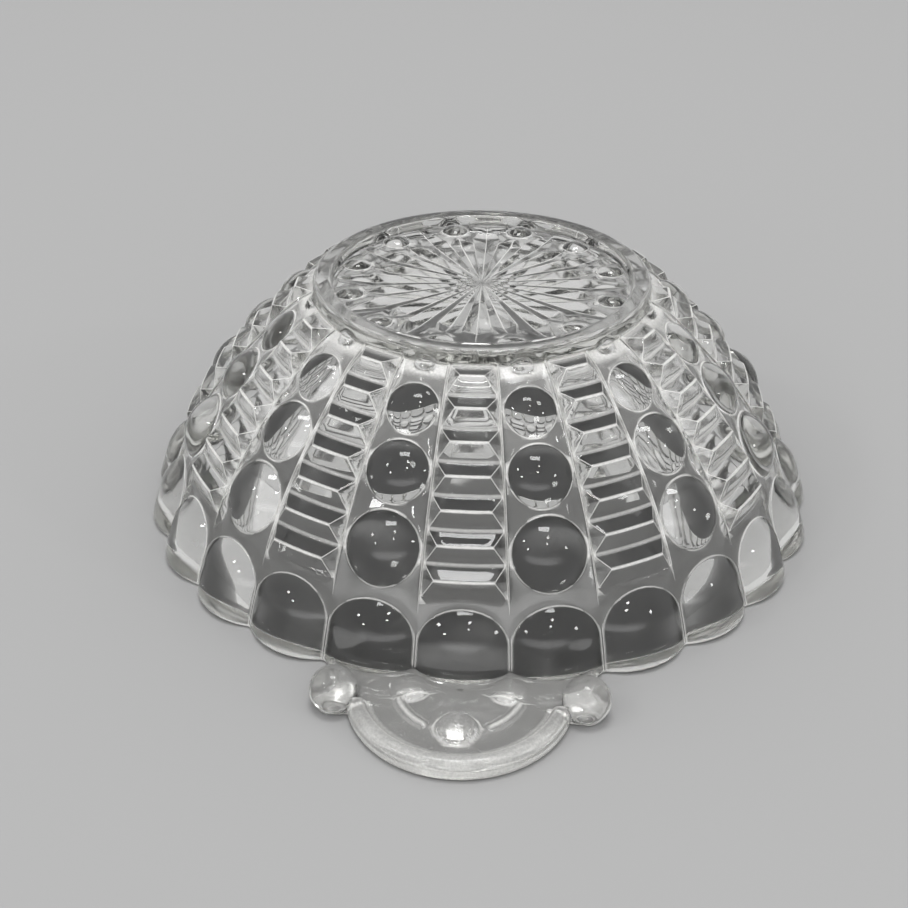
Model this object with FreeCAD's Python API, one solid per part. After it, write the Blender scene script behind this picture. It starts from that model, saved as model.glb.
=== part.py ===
import FreeCAD, Part
import math
import os

# A clear pressed glass bowl with one tab handle, lying upside down on its rim.
# Millimetres. +Z is up, the rim lies on z = 0, the foot ring is on top, the bowl's axis is the
# Z axis and the handle points towards -Y. The outside carries a pattern of columns, all the way
# round: columns of round beads that grow towards the rim, and between them columns of ladder bars.

# Bowl
RIM_RADIUS = 67.0          # outside of the rim, in the notches between two scallops
BOWL_HEIGHT = 49.9         # rim plane to standing edge of the foot
SWEEP_RADIUS = 86.8        # radius of the side wall's outer curve, seen in section
WALL = 3.6                 # glass between the cavity and the plain outer curve
BASE_THICKNESS = 4.2       # glass between the recessed base and the bottom of the cavity
CAVITY_CORNER_RADIUS = 9.0 # where the inside of the wall turns into the bottom
RIM_EASING = 1.2           # bevel on the inner edge of the rim

# Foot ring
FOOT_RADIUS = 33.7
FOOT_RING_HEIGHT = 3.3     # how far the ring stands above the shoulder of the wall
FOOT_EDGE_WIDTH = 2.7      # flat standing edge
FOOT_EDGE_EASING = 0.5     # bevel on its outer corner
FOOT_INNER_SLOPE = 0.7     # width of the ring's sloped inner side
BASE_RECESS = 2.1          # depth of the base below the standing edge

# Columns of the pattern
COLUMN_PAIRS = 12          # one bead column and one ladder column each
BEAD_GAP = 0.3             # glass left plain between neighbouring beads
BEAD_RISES = (2.1, 2.5, 3.2)  # height of each row of beads, from the foot to the rim
FIRST_BEAD_DROP = 9.2      # along the wall, from the foot ring to the middle of the first row
COLLAR_BEAD_RADIUS = 2.3   # the small bead tucked under the foot ring
COLLAR_BEAD_RISE = 1.2

# Ladder bars
BARS_PER_LADDER = 7
BAR_RISE = 1.7
BAR_HIP = 2.2              # how much shorter the ridge of a bar is at each end
LADDER_END_GAP = 1.0       # plain glass between the last bar and the top of the rim scallops

# Rim scallops
SCALLOP_RISE = 2.9
SCALLOP_GAP = 1.1          # plain glass between the last row of beads and a scallop

# Star and buttons on the base
STAR_TIP_GAP = 0.6         # from a long ray's tip to the foot ring, and a short one's to its button
LONG_RAY_POINT = 7.5       # length of the pointed end beyond the ray's widest place
SHORT_RAY_POINT = 3.6
STAR_DEPTH = 1.0
STAR_CENTRE_RADIUS = 0.8
BUTTON_RADIUS = 2.9
BUTTON_GAP = 0.2           # from a button to the foot ring
BUTTON_RISE = 1.3

# Tab handle
TAB_RADIUS = 20.0          # round outline of the tab
TAB_REACH = 23.8           # from the rim notches to the tip
TAB_THICKNESS = 3.8
TAB_EDGE_ROUND = 1.5
TAB_BORDER = 3.3           # raised border round the dished field
TAB_DISH_DEPTH = 1.3
TAB_ROOT_WIDTH = 50.0
BALL_SPACING = 44.0
BALL_REACH = 5.8           # from the rim notches to the middle of each ball
BALL_RADIUS = 4.2
BALL_CENTRE_HEIGHT = 2.8
TAB_DOME_REACH = 14.0
TAB_DOME_RADIUS = 3.8
TAB_DOME_RISE = 1.8
TAB_BEAD_SPACING = 17.2
TAB_BEAD_REACH = 3.8
TAB_BEAD_RADIUS = 3.6
TAB_BEAD_RISE = 1.5
RIB_RADIUS = 11.0          # two curved ribs beside the dome, concentric with the outline
RIB_HALF_WIDTH = 0.6
RIB_START = 24.0           # degrees from the middle of the tab
RIB_SWEEP = 48.0
STEP_WIDTH = 7.6           # low step across the border at the tip
STEP_LENGTH = 4.4
STEP_RISE = 0.5

UP = FreeCAD.Vector(0, 0, 1)
ORIGIN = FreeCAD.Vector(0, 0, 0)
ROOT = WALL / 2            # raised shapes are rooted in the glass, well clear of the cavity
COLUMN_ANGLE = 360.0 / (2 * COLUMN_PAIRS)
HALF_COLUMN = math.radians(COLUMN_ANGLE / 2)
HANDLE_AZIMUTH = -90.0     # the handle points towards -Y, and lies on a ladder column
SHOULDER_HEIGHT = BOWL_HEIGHT - FOOT_RING_HEIGHT
FLOOR_HEIGHT = BOWL_HEIGHT - BASE_RECESS
FOOT_EDGE_INNER = FOOT_RADIUS - FOOT_EDGE_EASING - FOOT_EDGE_WIDTH
BASE_RADIUS = FOOT_EDGE_INNER - FOOT_INNER_SLOPE
BUTTON_CIRCLE_RADIUS = BASE_RADIUS - BUTTON_GAP - BUTTON_RADIUS
TAB_CENTRE_Y = -(RIM_RADIUS + TAB_REACH - TAB_RADIUS)


# ---------------------------------------------------------------- the curve of the wall

def sweep_centre():
    """Centre (r, z) of the wall's outer curve, through the rim and the shoulder."""
    span_r = RIM_RADIUS - FOOT_RADIUS
    chord = math.hypot(span_r, SHOULDER_HEIGHT)
    middle_r = (RIM_RADIUS + FOOT_RADIUS) / 2
    middle_z = SHOULDER_HEIGHT / 2
    sag = math.sqrt(SWEEP_RADIUS ** 2 - (chord / 2) ** 2)
    return middle_r - sag * SHOULDER_HEIGHT / chord, middle_z - sag * span_r / chord


CENTRE_R, CENTRE_Z = sweep_centre()


def slope_at(along):
    """Angle of the wall's normal above the horizontal, at a distance along from the foot ring."""
    start = math.atan2(SHOULDER_HEIGHT - CENTRE_Z, FOOT_RADIUS - CENTRE_R)
    return start - along / SWEEP_RADIUS


def wall_point(along, side=0.0, rise=0.0):
    """Point of the wall: along the curve from the foot ring, sideways, and proud of the glass."""
    slope = slope_at(along)
    reach = CENTRE_R + (SWEEP_RADIUS + rise) * math.cos(slope)
    height = CENTRE_Z + (SWEEP_RADIUS + rise) * math.sin(slope)
    return FreeCAD.Vector(reach, side, height)


def wall_normal(along):
    slope = slope_at(along)
    return FreeCAD.Vector(math.cos(slope), 0, math.sin(slope))


def wall_radius(along):
    return wall_point(along).x


WALL_LENGTH = SWEEP_RADIUS * (slope_at(0) - math.asin(-CENTRE_Z / SWEEP_RADIUS))


def column_half_width(along):
    return wall_radius(along) * math.sin(HALF_COLUMN)


def bead_radius(along):
    return column_half_width(along) - BEAD_GAP / 2


def next_bead(along):
    """Middle of the bead below one at along, so that the two nearly touch."""
    place = along + 2 * bead_radius(along)
    for _ in range(20):
        place = along + bead_radius(along) + BEAD_GAP + bead_radius(place)
    return place


def bead_places():
    places = [FIRST_BEAD_DROP]
    while len(places) < len(BEAD_RISES):
        places.append(next_bead(places[-1]))
    return places


BEAD_PLACES = bead_places()
SCALLOP_TOP = BEAD_PLACES[-1] + bead_radius(BEAD_PLACES[-1]) + SCALLOP_GAP
SCALLOP_CREST = SCALLOP_TOP + column_half_width(SCALLOP_TOP)


# ---------------------------------------------------------------- shapes that repeat

def dome(radius, rise, foot, direction):
    """Part of a ball: a round footprint of this radius at foot, and a root sunk below it."""
    ball = (radius ** 2 + rise ** 2) / (2 * rise)
    depth = ball - rise
    centre = foot - direction * depth
    low = math.degrees(math.asin(max((depth - ROOT) / ball, -1)))
    return Part.makeSphere(ball, centre, direction, low, 90, 360)


def solid_of_faces(outlines):
    """Closed solid from flat outlines, each a list of corner points."""
    faces = [Part.Face(Part.makePolygon(outline + outline[:1])) for outline in outlines]
    shell = Part.makeShell(faces)
    solid = Part.makeSolid(shell)
    if solid.Volume < 0:
        solid.reverse()
    return solid


def around(shape, count, first):
    """Copies of a shape made at azimuth 0, turned about the bowl's axis."""
    copies = []
    for index in range(count):
        copy = shape.copy()
        copy.rotate(ORIGIN, UP, first + index * 360.0 / count)
        copies.append(copy)
    return copies


# ---------------------------------------------------------------- bowl and foot

def revolved(outline):
    """Solid turned about the Z axis from a closed outline of edges in the XZ plane."""
    return Part.Face(Part.Wire(outline)).revolve(ORIGIN, UP, 360)


def line(start, end):
    return Part.LineSegment(start, end).toShape()


def flat_point(reach, height):
    return FreeCAD.Vector(reach, 0, height)


def bowl_blank():
    """The plain outside: side wall, foot ring and recessed base, still full inside."""
    corners = [
        wall_point(0),
        flat_point(FOOT_RADIUS, BOWL_HEIGHT - FOOT_EDGE_EASING),
        flat_point(FOOT_RADIUS - FOOT_EDGE_EASING, BOWL_HEIGHT),
        flat_point(FOOT_EDGE_INNER, BOWL_HEIGHT),
        flat_point(BASE_RADIUS, FLOOR_HEIGHT),
        flat_point(0, FLOOR_HEIGHT),
        ORIGIN,
        wall_point(WALL_LENGTH),
    ]
    edges = [line(start, end) for start, end in zip(corners, corners[1:])]
    side = Part.Arc(wall_point(WALL_LENGTH), wall_point(WALL_LENGTH / 2), wall_point(0)).toShape()
    return revolved(edges + [side])


def cavity():
    """The smooth inside: the wall's curve moved in by the wall, and a round corner to the bottom."""
    top = FLOOR_HEIGHT - BASE_THICKNESS
    inner = SWEEP_RADIUS - WALL
    corner = CAVITY_CORNER_RADIUS
    corner_z = top - corner
    corner_r = CENTRE_R + math.sqrt((inner - corner) ** 2 - (corner_z - CENTRE_Z) ** 2)
    touch = math.atan2(corner_z - CENTRE_Z, corner_r - CENTRE_R)

    def inner_point(angle):
        return flat_point(CENTRE_R + inner * math.cos(angle), CENTRE_Z + inner * math.sin(angle))

    def corner_point(angle):
        return flat_point(corner_r + corner * math.cos(angle), corner_z + corner * math.sin(angle))

    low = math.asin((RIM_EASING - CENTRE_Z) / inner)
    mouth = inner_point(low)
    edges = [
        line(flat_point(0, top), corner_point(math.pi / 2)),
        Part.Arc(corner_point(math.pi / 2), corner_point((math.pi / 2 + touch) / 2),
                 corner_point(touch)).toShape(),
        Part.Arc(inner_point(touch), inner_point((touch + low) / 2), mouth).toShape(),
        line(mouth, flat_point(mouth.x + 2 * RIM_EASING, -RIM_EASING)),
        line(flat_point(mouth.x + 2 * RIM_EASING, -RIM_EASING), flat_point(0, -RIM_EASING)),
        line(flat_point(0, -RIM_EASING), flat_point(0, top)),
    ]
    return revolved(edges)


# ---------------------------------------------------------------- pattern of the wall

def bead_column():
    """Round beads, each as wide as its column, and the small one under the foot ring."""
    beads = [dome(COLLAR_BEAD_RADIUS, COLLAR_BEAD_RISE, wall_point(0), wall_normal(0))]
    for place, rise in zip(BEAD_PLACES, BEAD_RISES):
        beads.append(dome(bead_radius(place), rise, wall_point(place), wall_normal(place)))
    return beads


def ladder_column():
    """One ladder: bars with a ridge across and sloping ends, that meet in straight valleys."""
    end = SCALLOP_TOP - LADDER_END_GAP
    pitch = end / BARS_PER_LADDER
    valleys = [index * pitch for index in range(BARS_PER_LADDER + 1)]

    def corner(along, hand, rise, inset=0.0):
        half = column_half_width(along) - BEAD_GAP / 2 - inset
        return wall_point(along, hand * half, rise)

    outlines = []
    for start, stop in zip(valleys, valleys[1:]):
        ridge = (start + stop) / 2
        ridge_left = corner(ridge, -1, BAR_RISE, BAR_HIP)
        ridge_right = corner(ridge, 1, BAR_RISE, BAR_HIP)
        left = [corner(start, -1, 0), corner(stop, -1, 0)]
        right = [corner(start, 1, 0), corner(stop, 1, 0)]
        low_left = [corner(start, -1, -ROOT), corner(stop, -1, -ROOT)]
        low_right = [corner(start, 1, -ROOT), corner(stop, 1, -ROOT)]
        outlines += [
            [left[0], right[0], ridge_right, ridge_left],
            [ridge_left, ridge_right, right[1], left[1]],
            [left[0], ridge_left, left[1]],
            [right[0], right[1], ridge_right],
            [left[0], left[1], low_left[1]],
            [left[0], low_left[1], low_left[0]],
            [right[0], low_right[0], low_right[1]],
            [right[0], low_right[1], right[1]],
            [low_left[0], low_left[1], low_right[1], low_right[0]],
        ]
    first = [corner(0, -1, 0), corner(0, 1, 0), corner(0, 1, -ROOT), corner(0, -1, -ROOT)]
    last = [corner(end, -1, 0), corner(end, -1, -ROOT), corner(end, 1, -ROOT), corner(end, 1, 0)]
    return solid_of_faces(outlines + [first, last])


def rim_scallop():
    """One bulge of the rim: round at its top end, and straight from its crest down to the rim."""
    slope = slope_at(SCALLOP_CREST)
    half = column_half_width(SCALLOP_CREST)
    side_drop = half ** 2 * math.cos(slope) / (2 * wall_radius(SCALLOP_CREST))
    ball = (half ** 2 + (SCALLOP_RISE + side_drop) ** 2) / (2 * (SCALLOP_RISE + side_drop))
    foot = wall_point(SCALLOP_CREST)
    outward = wall_normal(SCALLOP_CREST)
    down = FreeCAD.Vector(math.sin(slope), 0, -math.cos(slope))
    centre = foot + outward * (SCALLOP_RISE - ball)
    top = Part.makeSphere(ball, centre)
    skirt = Part.makeCylinder(ball, WALL_LENGTH - SCALLOP_CREST + SCALLOP_RISE, centre, down)
    keep = Part.makeBox(SCALLOP_RISE + side_drop + ROOT, 2 * ball, 4 * ball)
    keep.translate(FreeCAD.Vector(-side_drop - ROOT, -ball, -2 * ball))
    keep.rotate(ORIGIN, FreeCAD.Vector(0, 1, 0), -math.degrees(slope))
    keep.translate(foot)
    return top.fuse(skirt).common(keep).removeSplitter()


# ---------------------------------------------------------------- star and buttons of the base

def star_ray(tip_radius, point_length):
    """A groove that widens outwards until it touches its neighbours, then ends in a point."""
    widest = tip_radius - point_length
    half = widest * math.tan(HALF_COLUMN)
    inner = flat_point(STAR_CENTRE_RADIUS, FLOOR_HEIGHT)
    tip = flat_point(tip_radius, FLOOR_HEIGHT)
    left = FreeCAD.Vector(widest, half, FLOOR_HEIGHT)
    right = FreeCAD.Vector(widest, -half, FLOOR_HEIGHT)
    outlines = []
    for height in (FLOOR_HEIGHT - STAR_DEPTH, FLOOR_HEIGHT + STAR_DEPTH):
        apex = flat_point(widest, height)
        outlines += [[inner, left, apex], [left, tip, apex]]
        outlines += [[inner, right, apex], [right, tip, apex]]
    return solid_of_faces(outlines)


def base_button():
    return dome(BUTTON_RADIUS, BUTTON_RISE, flat_point(BUTTON_CIRCLE_RADIUS, FLOOR_HEIGHT), UP)


# ---------------------------------------------------------------- tab handle, built towards -Y

def on_tab(side, reach, height):
    """Point of the tab: sideways, outwards from the rim notches, and up."""
    return FreeCAD.Vector(side, -(RIM_RADIUS + reach), height)


def tab_plate():
    """Round tab with a rolled upper edge, and shoulders that run from the rim to the balls."""
    upper = TAB_THICKNESS - TAB_EDGE_ROUND
    inward = TAB_EDGE_ROUND * (1 - math.sqrt(0.5))
    roll = Part.Arc(flat_point(TAB_RADIUS, upper), flat_point(TAB_RADIUS - inward, TAB_THICKNESS - inward),
                    flat_point(TAB_RADIUS - TAB_EDGE_ROUND, TAB_THICKNESS)).toShape()
    disc = revolved([
        line(ORIGIN, flat_point(TAB_RADIUS, 0)),
        line(flat_point(TAB_RADIUS, 0), flat_point(TAB_RADIUS, upper)),
        roll,
        line(flat_point(TAB_RADIUS - TAB_EDGE_ROUND, TAB_THICKNESS), flat_point(0, TAB_THICKNESS)),
        line(flat_point(0, TAB_THICKNESS), ORIGIN),
    ])
    disc.translate(FreeCAD.Vector(0, TAB_CENTRE_Y, 0))
    root_radius = RIM_RADIUS - ROOT
    root_reach = math.sqrt(root_radius ** 2 - (TAB_ROOT_WIDTH / 2) ** 2) - RIM_RADIUS
    outline = [
        on_tab(-TAB_ROOT_WIDTH / 2, root_reach, 0),
        on_tab(-BALL_SPACING / 2, BALL_REACH, 0),
        on_tab(BALL_SPACING / 2, BALL_REACH, 0),
        on_tab(TAB_ROOT_WIDTH / 2, root_reach, 0),
    ]
    shoulders = Part.Face(Part.makePolygon(outline + outline[:1])).extrude(UP * TAB_THICKNESS)
    return disc.fuse(shoulders)


def tab_dish():
    """The field inside the border, which is cut down from the upper side."""
    foot = FreeCAD.Vector(0, TAB_CENTRE_Y, TAB_THICKNESS - TAB_DISH_DEPTH)
    return Part.makeCylinder(TAB_RADIUS - TAB_BORDER, TAB_THICKNESS, foot)


def tab_rib(first_angle):
    """Half-round rib, concentric with the tab's outline, from this angle about its middle."""
    middle = FreeCAD.Vector(0, TAB_CENTRE_Y, TAB_THICKNESS - TAB_DISH_DEPTH)
    rib = Part.makeTorus(RIB_RADIUS, RIB_HALF_WIDTH, middle, UP, -180, 180, RIB_SWEEP)
    rib.rotate(middle, UP, first_angle)
    return rib


def tab_relief():
    """Dome, two small beads, two curved ribs and the step at the tip."""
    field = TAB_THICKNESS - TAB_DISH_DEPTH
    pieces = [dome(TAB_DOME_RADIUS, TAB_DOME_RISE, on_tab(0, TAB_DOME_REACH, field), UP)]
    for hand in (-1, 1):
        foot = on_tab(hand * TAB_BEAD_SPACING / 2, TAB_BEAD_REACH, field)
        pieces.append(dome(TAB_BEAD_RADIUS, TAB_BEAD_RISE, foot, UP))
    pieces.append(tab_rib(HANDLE_AZIMUTH + RIB_START))
    pieces.append(tab_rib(HANDLE_AZIMUTH - RIB_START - RIB_SWEEP))
    step_foot = on_tab(-STEP_WIDTH / 2, TAB_REACH - TAB_EDGE_ROUND, TAB_THICKNESS - TAB_DISH_DEPTH)
    pieces.append(Part.makeBox(STEP_WIDTH, STEP_LENGTH, TAB_DISH_DEPTH + STEP_RISE, step_foot))
    return pieces


def tab_balls():
    centres = [on_tab(hand * BALL_SPACING / 2, BALL_REACH, BALL_CENTRE_HEIGHT) for hand in (-1, 1)]
    return [Part.makeSphere(BALL_RADIUS, centre) for centre in centres]


def tab_handle():
    plate = tab_plate().cut(tab_dish())
    return plate.multiFuse(tab_relief() + tab_balls())


# ---------------------------------------------------------------- the whole bowl

def below_rim_plane():
    size = RIM_RADIUS + TAB_REACH + BALL_RADIUS
    return Part.makeBox(2 * size, 2 * size, size, FreeCAD.Vector(-size, -size, -size))


def glass_bowl():
    pairs = COLUMN_PAIRS
    bead_azimuth = HANDLE_AZIMUTH + COLUMN_ANGLE
    added = [tab_handle()]
    for bead in bead_column():
        added += around(bead, pairs, bead_azimuth)
    added += around(ladder_column(), pairs, HANDLE_AZIMUTH)
    added += around(rim_scallop(), 2 * pairs, HANDLE_AZIMUTH)
    added += around(base_button(), pairs, bead_azimuth)
    cut_away = [cavity(), below_rim_plane()]
    long_tip = BASE_RADIUS - STAR_TIP_GAP
    short_tip = BUTTON_CIRCLE_RADIUS - BUTTON_RADIUS - STAR_TIP_GAP
    cut_away += around(star_ray(long_tip, LONG_RAY_POINT), pairs, HANDLE_AZIMUTH)
    cut_away += around(star_ray(short_tip, SHORT_RAY_POINT), pairs, bead_azimuth)
    return bowl_blank().multiFuse(added).cut(cut_away)


os.makedirs("parts", exist_ok=True)
glass_bowl().exportStep("parts/glass_bowl.step")
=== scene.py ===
import bmesh
import bpy
import numpy as np
from mathutils import Matrix, Vector


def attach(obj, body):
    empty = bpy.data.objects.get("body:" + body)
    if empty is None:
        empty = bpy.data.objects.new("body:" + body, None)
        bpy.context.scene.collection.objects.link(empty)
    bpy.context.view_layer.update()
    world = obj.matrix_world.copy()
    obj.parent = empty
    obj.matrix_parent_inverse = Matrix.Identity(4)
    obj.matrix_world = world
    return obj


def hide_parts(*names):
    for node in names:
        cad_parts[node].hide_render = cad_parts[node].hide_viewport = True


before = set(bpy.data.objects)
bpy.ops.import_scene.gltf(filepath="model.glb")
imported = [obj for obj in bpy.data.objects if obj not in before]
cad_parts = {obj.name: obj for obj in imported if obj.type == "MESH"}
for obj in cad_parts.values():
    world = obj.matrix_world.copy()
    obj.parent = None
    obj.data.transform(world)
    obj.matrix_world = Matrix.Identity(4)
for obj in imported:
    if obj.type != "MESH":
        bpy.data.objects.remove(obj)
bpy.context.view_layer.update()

# ================================================================== glass bowl
# One piece of clear soda-lime glass, pressed hot in a mould: the wall with its pattern, the foot ring,
# the base, the smooth inside and the tab handle all come from one gather. It lies upside down on its
# rim, as the frame does, so the foot ring is on top.

# Lengths are in millimetres until a mesh is made. The outside is one closed surface over a grid:
# columns run round the bowl, rows run from the middle of the base over the foot, down the wall, round
# the rim and up the inside.
mm = 0.001
TINY = 1e-9                           # a tolerance, and the least that anything is divided by

BOWL_HEIGHT = 49.9                    # from the rim's plane to the standing edge of the foot
RIM_RADIUS = 67.0                     # in the notches between two scallops, before the rim is rolled
FOOT_RADIUS = 33.7
FOOT_RING_HEIGHT = 3.3
SWEEP_RADIUS = 86.8                   # of the wall's outer curve, seen in section
SHOULDER_HEIGHT = BOWL_HEIGHT - FOOT_RING_HEIGHT
PAIRS = 12                            # one bead column and one ladder column in each
HALF_COLUMN = np.pi / (2 * PAIRS)
BEAD_COLUMNS = 24                     # grid columns across a column of beads
LADDER_COLUMNS = 18
BORDER = 0.34                         # half the width of the thin raised line between two columns
BORDER_RISE = 0.42
NOTCH = 0.11                          # the same half width between two scallops, where it isn't raised
GAP = 0.04                            # from a raised line to the form beside it

chord = np.hypot(RIM_RADIUS - FOOT_RADIUS, SHOULDER_HEIGHT)
sag = np.sqrt(SWEEP_RADIUS ** 2 - (chord / 2) ** 2)
CENTRE_R = (RIM_RADIUS + FOOT_RADIUS) / 2 - sag * SHOULDER_HEIGHT / chord
CENTRE_Z = SHOULDER_HEIGHT / 2 - sag * (RIM_RADIUS - FOOT_RADIUS) / chord
TOP_SLOPE = np.arctan2(SHOULDER_HEIGHT - CENTRE_Z, FOOT_RADIUS - CENTRE_R)


def wall_slope(along):
    """Angle of the wall's normal above level: falls evenly with the distance from the foot ring."""
    return TOP_SLOPE - along / SWEEP_RADIUS


def wall_radius(along):
    """The sweep's centre radius, plus its own radius times the cosine of the normal's angle."""
    return CENTRE_R + SWEEP_RADIUS * np.cos(wall_slope(along))


def half_width(along):
    """Half of one column: the wall's radius times the sine of half the column's angle."""
    return wall_radius(along) * np.sin(HALF_COLUMN)


def on_wall(side, along, rise):
    """A point of the wall in its own column, which faces +X: go round by side over radius, then
    out along the wall's normal by the sweep's radius and the rise."""
    slope = wall_slope(along)
    turn = np.where(np.abs(side) >= half_width(along) - TINY, np.sign(side) * HALF_COLUMN,
                    side / wall_radius(along) * HALF_COLUMN / np.sin(HALF_COLUMN))
    reach = CENTRE_R + (SWEEP_RADIUS + rise) * np.cos(slope)
    height = CENTRE_Z + (SWEEP_RADIUS + rise) * np.sin(slope)
    return np.stack([reach * np.cos(turn), reach * np.sin(turn), height], axis=-1)


# Places of the narrow steps at the end of a round form, where its fillet is.
FILLET_STEPS = np.array([1.0, 0.975, 0.94, 0.90])


def spread(count):
    """Places from -1 to 1: the narrow steps at both ends, and even ones between them."""
    inner = np.linspace(-FILLET_STEPS[-1], FILLET_STEPS[-1], count - 5)[1:-1]
    return np.concatenate([-FILLET_STEPS, inner, FILLET_STEPS[::-1]])


def square_to_disc(across, down, corner):
    """Carries a square onto a round disc. Its rings stay rings: the larger of the two places is the
    radius, the square's sides become side arcs up to the corner angle, its top and bottom the rest."""
    ring = np.maximum(np.maximum(np.abs(across), np.abs(down)), TINY)
    side_angle = np.arcsin(np.clip(np.sin(corner) * down / ring, -1, 1))
    cap_angle = (np.pi / 2 - corner) * across / ring
    at_side = np.abs(across) >= np.abs(down)
    x = np.where(at_side, np.sign(across) * ring * np.cos(side_angle), ring * np.sin(cap_angle))
    y = np.where(at_side, ring * np.sin(side_angle), np.sign(down) * ring * np.cos(cap_angle))
    return x, y, ring


def dome_height(distance, radius, rise):
    """Height of a ball's cap over its round foot: the ball's height there less its depth."""
    ball = (radius ** 2 + rise ** 2) / (2 * rise)
    return np.sqrt(np.maximum(ball ** 2 - distance ** 2, 0)) - (ball - rise)


def soft_max(one, other, width):
    """The larger of two heights, with a fillet of about this width where they cross."""
    gap = np.clip(1 - np.abs(one - other) / width, 0, 1)
    return np.maximum(one, other) + gap ** 2 * width / 4


def soft_min(one, other, width):
    """The smaller of two heights, with the same fillet."""
    return -soft_max(-one, -other, width)


CAP_SHARE = 0.97                      # a cap's own foot is this share of its round, the rest is fillet


def bead_height(ring, radius, rise):
    """A ball's cap whose foot is a little inside the round, and a fillet from there out to it."""
    foot = CAP_SHARE * radius
    reach = -dome_height(radius, foot, rise)
    return soft_max(dome_height(ring * radius, foot, rise), 0 * ring, reach)


# Under the foot ring the plain glass stands out: a straight lift for each mm down the wall, then a
# straight fall back to the wall.
SHOULDER_LIFT = 0.15
SHOULDER_FALL = 0.062
SHOULDER_END = 14.0
SHOULDER_FILLET, SHOULDER_END_FILLET = 0.2, 0.1


def shoulder(along):
    """Height of that swelling: the lower of the lift and the fall, and nothing past its end."""
    hump = soft_min(SHOULDER_LIFT * along, SHOULDER_FALL * (SHOULDER_END - along), SHOULDER_FILLET)
    return soft_max(hump, 0 * hump, SHOULDER_END_FILLET)


# The wall's rows. A ladder has seven bars of twelve rows, close together at its valleys and ridges;
# a bead has its own rows, that start and end on the numbers given here, and the rows between two
# beads fill the gap between their circles.
BARS = 7
BAR_RIDGE = 0.46                      # the ridge's place, from 0 at one valley to 1 at the next
BAR_ROWS = np.array([0, 0.035, 0.083, 0.24, 0.4, 0.43, BAR_RIDGE, 0.49, 0.52, 0.72, 0.917, 0.965])
WALL_ROWS = BARS * len(BAR_ROWS)
BEADS = [  # along the wall, rise, first row, last row
    (9.2, 2.1, 10, 27),
    (20.96, 2.5, 31, 52),
    (34.9, 3.2, 57, 82),
]
BEAD_CORNER = np.radians(60)
LADDER_END = 42.35                    # along the wall, where the last bar ends
BAR_RISE = 2.05
BAR_HIP = 2.2                         # how far a bar's end slopes down to its tip
BAR_LIFT = 0.1
RIDGE_END_GAP = 0.25                  # from a ridge's end to the bar's tip, at the least
RIDGE_END_STEP = 0.15                 # from a ridge's end to the grid columns beside it
RIDGE_FILLET, VALLEY_FILLET, END_FILLET = 0.4, 0.9, 0.25

# The rim scallops come after them: half a disc of rows, then straight rows to the rim's roll.
SCALLOP_FIRST = WALL_ROWS + 2
SCALLOP_HALF = 11
SKIRT = 8
LAST_ROW = SCALLOP_FIRST + SCALLOP_HALF + SKIRT
SCALLOP_CREST = 50.9                  # along the wall
SCALLOP_FLAT = 0.84                   # a scallop's top is flatter than a half round by this factor
SCALLOP_RISE = 2.9
SCALLOP_CORNER = np.radians(50)
ROLL_MIDDLE, ROLL_NOTCH = 2.3, 0.9    # height where the rim's roll starts, on a scallop and in a notch
HEIGHT_STEPS = 6                      # after which the place for a height no longer changes
FADE_ROWS = 6                         # over these the raised line sinks into the notch

bar_rows = (np.arange(BARS)[:, None] + BAR_ROWS).ravel() / BARS * LADDER_END
scallop_radius = half_width(SCALLOP_CREST) - NOTCH - GAP
scallop_height = SCALLOP_FLAT * scallop_radius
scallop_down = np.concatenate([spread(2 * SCALLOP_HALF)[:SCALLOP_HALF], [0.0]])


def fill_between(table, rows):
    """Fills the rows between the given ones by straight lines from one to the next."""
    for first, last in zip(rows, rows[1:]):
        if last - first > 1:
            part = (np.arange(first + 1, last) - first)[:, None] / (last - first)
            table[first + 1:last] = table[first] * (1 - part) + table[last] * part


def along_for_height(height, rise):
    """Distance along the wall at which a point with this rise lies at this height, in a few steps."""
    along = np.full_like(rise, SCALLOP_CREST)
    for _ in range(HEIGHT_STEPS):
        sine = (height - rise * np.sin(wall_slope(along)) - CENTRE_Z) / SWEEP_RADIUS
        along = SWEEP_RADIUS * (TOP_SLOPE - np.arcsin(sine))
    return along


scallop_side = scallop_height * np.sin(SCALLOP_CORNER)
notch_end = along_for_height(np.array([ROLL_NOTCH]), np.zeros(1))[0]
edge_along = np.concatenate([
    bar_rows,
    np.linspace(LADDER_END, SCALLOP_CREST - scallop_side, 3)[:2],
    SCALLOP_CREST + scallop_side * scallop_down,
    np.linspace(SCALLOP_CREST, notch_end, SKIRT + 1)[1:],
])
to_notch = np.clip((np.arange(LAST_ROW + 1) - SCALLOP_FIRST + FADE_ROWS) / FADE_ROWS, 0, 1)
border_width = BORDER + (NOTCH - BORDER) * to_notch
border_rise = BORDER_RISE * (1 - to_notch)


def add_scallop(side, along, rise, across):
    """The bulge of the rim in any column: a half disc on top, a little flattened, then straight sides
    to the rim. Its height is a ball's cap, and below the crest the same cap carried straight down."""
    crest = SCALLOP_FIRST + SCALLOP_HALF
    x, y, ring = square_to_disc(across[None, :], scallop_down[:, None], SCALLOP_CORNER)
    rows = slice(SCALLOP_FIRST, crest + 1)
    side[rows] = x * scallop_radius
    along[rows] = SCALLOP_CREST + y * scallop_height
    rise[rows] = bead_height(ring, scallop_radius, SCALLOP_RISE)
    cap = bead_height(np.abs(across), scallop_radius, SCALLOP_RISE)
    roll = ROLL_NOTCH + (ROLL_MIDDLE - ROLL_NOTCH) * cap / SCALLOP_RISE
    end = along_for_height(roll, cap)
    step = (np.arange(SKIRT) + 1)[:, None] / SKIRT
    rows = slice(crest + 1, LAST_ROW + 1)
    along[rows] = SCALLOP_CREST + step * (end - SCALLOP_CREST)
    side[rows] = across * (half_width(along[rows]) - NOTCH - GAP)
    rise[rows] = cap


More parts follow.
